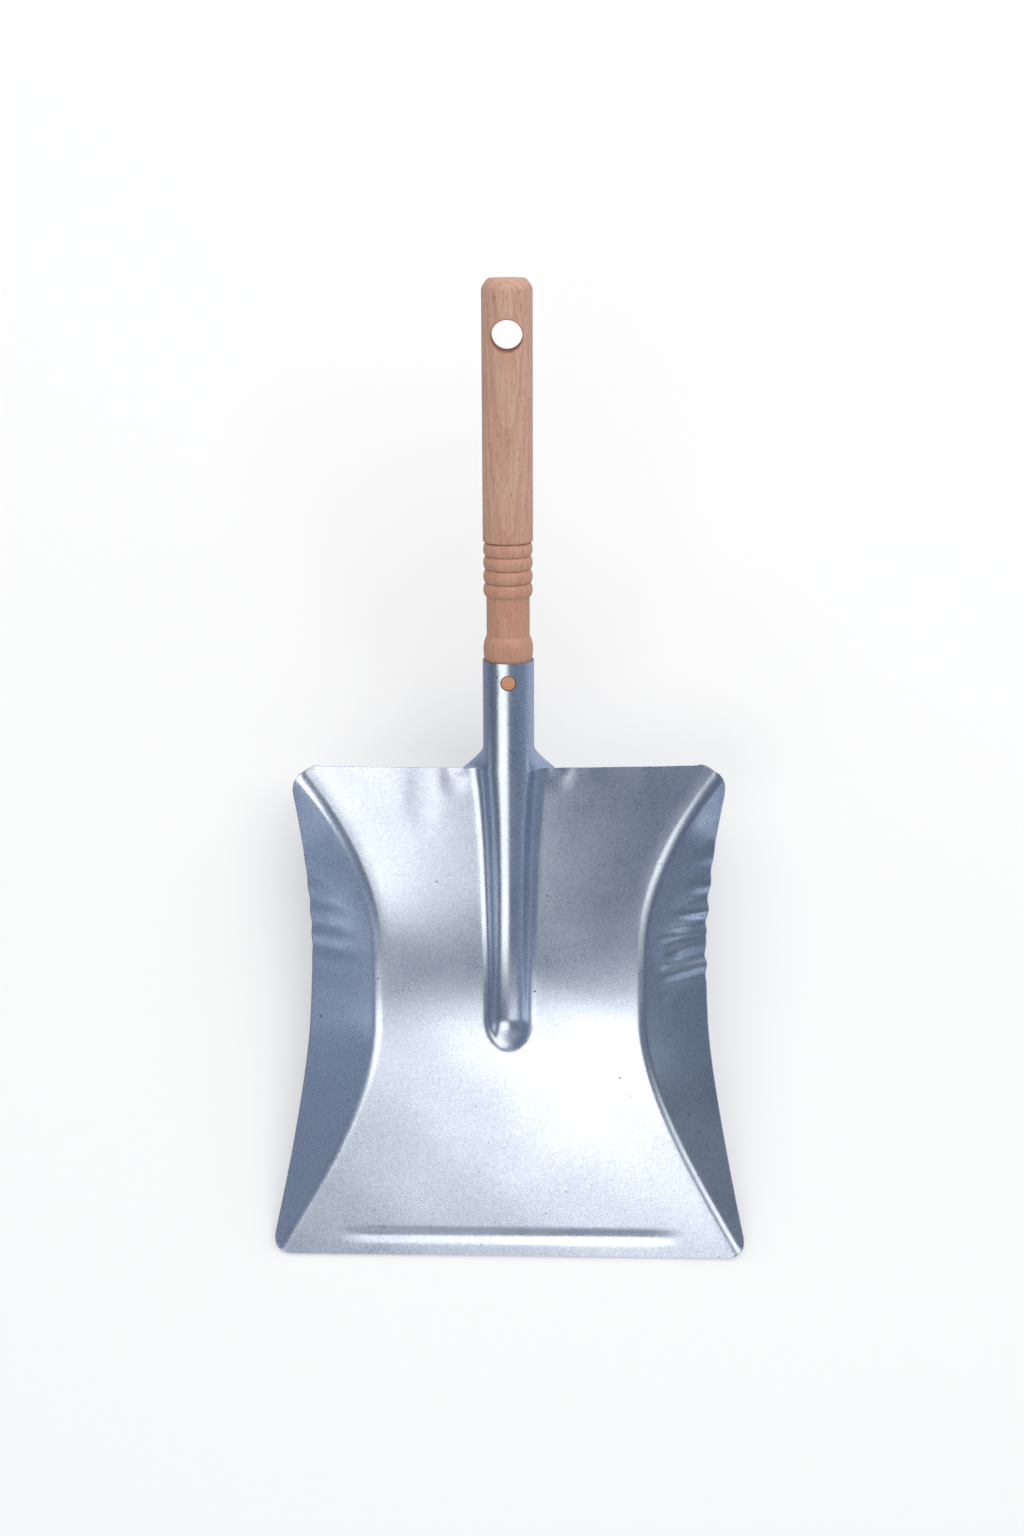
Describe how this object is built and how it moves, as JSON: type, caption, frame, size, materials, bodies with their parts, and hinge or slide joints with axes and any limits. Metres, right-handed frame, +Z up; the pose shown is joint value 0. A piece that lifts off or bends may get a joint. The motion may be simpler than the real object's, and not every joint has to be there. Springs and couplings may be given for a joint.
{
  "type": "hand dustpan",
  "caption": "Hand dustpan pressed from one galvanised steel sheet with a central rib rolled into a socket, and a turned beech handle locked in it by a wooden peg.",
  "frame": {"origin": "under the middle of the object's bounding box, on the surface that the pan's flat front lies on", "axes": "+Y from the lip towards the handle, +X to the right seen from the lip, +Z up"},
  "size_m": [0.2274, 0.4492, 0.1469],
  "materials": {
    "galvanised_steel": "bright galvanised sheet, fine spangle, pressed and left bare",
    "beech": "turned and sanded beech, waxed",
    "peg_beech": "cut end grain of a beech dowel"
  },
  "bodies": {
    "root": {"pan": "galvanised_steel", "handle": "beech", "locking_peg": "peg_beech"}
  },
  "joints": []
}
